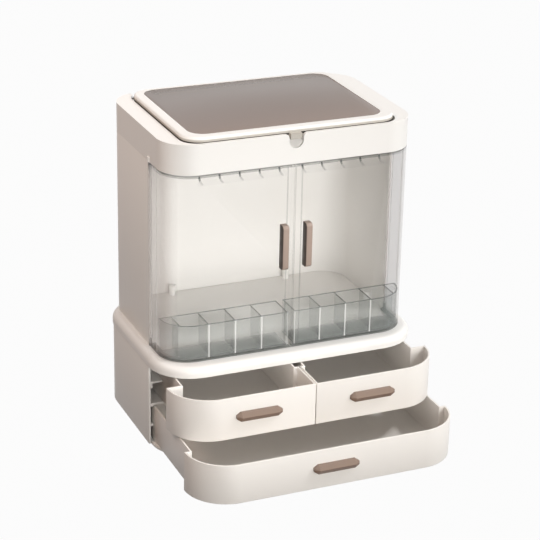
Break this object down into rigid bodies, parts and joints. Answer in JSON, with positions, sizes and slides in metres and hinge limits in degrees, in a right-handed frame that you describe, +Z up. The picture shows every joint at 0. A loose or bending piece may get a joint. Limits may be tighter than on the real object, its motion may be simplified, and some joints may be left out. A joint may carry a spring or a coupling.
{
  "type": "makeup organizer",
  "caption": "Tabletop makeup cabinet with clear wrap-round doors, a flip-up lid, lipstick racks and necklace hooks behind the doors, and rounded pull-out drawers in its base.",
  "frame": {"origin": "on the table, in the middle of the floor that the object covers with its drawers pulled out as in the picture", "axes": "+Z up, -Y to the front where the doors and drawers open, +X to the right as seen from the front"},
  "size_m": [0.32, 0.3356, 0.373],
  "materials": {
    "white_shell": "satin warm white moulded plastic",
    "clear_plastic": "clear polished plastic",
    "rose_brown_trim": "satin rose brown plastic",
    "taupe_panel": "glossy taupe panel",
    "steel_pin": "turned steel",
    "rubber_foot": "matt grey rubber"
  },
  "bodies": {
    "root": {"base_casing": "white_shell", "bottom_plate": "white_shell", "rubber_feet": "rubber_foot", "middle_shelf": "white_shell", "centre_divider": "white_shell", "guide_rail_left": "white_shell", "guide_rail_right": "white_shell", "base_top_plate": "white_shell", "cabinet_shell": "white_shell", "top_frame": "white_shell", "assembly_screws": "steel_pin"},
    "lid": {"lid_frame": "white_shell", "lid_panel": "taupe_panel", "lid_hinge_pins": "steel_pin"},
    "door_left_body": {"door_left": "clear_plastic", "door_handle_left": "rose_brown_trim", "lipstick_rack_left": "clear_plastic", "hook_strip_left": "clear_plastic", "door_pivots_left": "steel_pin"},
    "door_right_body": {"door_right": "clear_plastic", "door_handle_right": "rose_brown_trim", "lipstick_rack_right": "clear_plastic", "hook_strip_right": "clear_plastic", "door_pivots_right": "steel_pin"},
    "drawer_upper_left_body": {"drawer_upper_left": "white_shell", "pull_upper_left": "rose_brown_trim"},
    "drawer_upper_right_body": {"drawer_upper_right": "white_shell", "pull_upper_right": "rose_brown_trim"},
    "drawer_lower_body": {"drawer_lower": "white_shell", "pull_lower": "rose_brown_trim"}
  },
  "joints": [
    {"name": "lid_hinge", "type": "hinge", "parent": "root", "child": "lid", "pos_m": [0, 0.15575, 0.3645], "axis": [-1, 0, 0], "range_deg": [0, 100]},
    {"name": "door_left_hinge", "type": "hinge", "parent": "root", "child": "door_left_body", "pos_m": [-0.1474, 0.02725, 0.224], "axis": [0, 0, -1], "range_deg": [0, 105]},
    {"name": "door_right_hinge", "type": "hinge", "parent": "root", "child": "door_right_body", "pos_m": [0.1474, 0.02725, 0.224], "axis": [0, 0, 1], "range_deg": [0, 105]},
    {"name": "drawer_upper_left_slide", "type": "slide", "parent": "root", "child": "drawer_upper_left_body", "axis": [0, -1, 0], "range_m": [-0.056, 0.074]},
    {"name": "drawer_upper_right_slide", "type": "slide", "parent": "root", "child": "drawer_upper_right_body", "axis": [0, -1, 0], "range_m": [-0.056, 0.074]},
    {"name": "drawer_lower_slide", "type": "slide", "parent": "root", "child": "drawer_lower_body", "axis": [0, -1, 0], "range_m": [-0.1125, 0.0375]}
  ]
}
